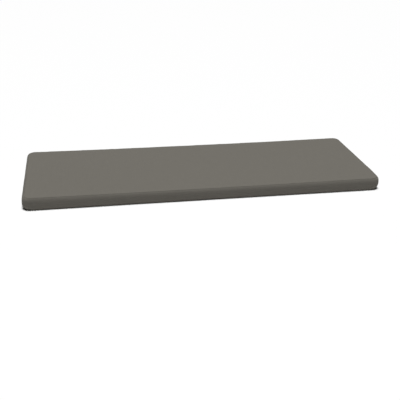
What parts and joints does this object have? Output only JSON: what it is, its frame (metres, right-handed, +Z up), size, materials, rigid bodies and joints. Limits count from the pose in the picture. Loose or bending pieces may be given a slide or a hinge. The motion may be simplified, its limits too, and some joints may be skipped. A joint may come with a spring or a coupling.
{
  "type": "bench cushion",
  "caption": "Long low boxed seat cushion for a bench, with a gently crowned top panel, a boxing strip round its side, a flat bottom panel and drawn-in seams.",
  "frame": {"origin": "under the middle of the cushion, on the surface that it lies on", "axes": "+X along the cushion, +Y from its front edge to its back edge, +Z up through the top panel"},
  "size_m": [1.4, 0.49, 0.0579],
  "materials": {
    "cover_cloth": "matte, plain woven, warm dark grey"
  },
  "bodies": {
    "root": {"filled_top_panel": "cover_cloth", "boxing_strip": "cover_cloth", "bottom_panel": "cover_cloth"}
  },
  "joints": []
}
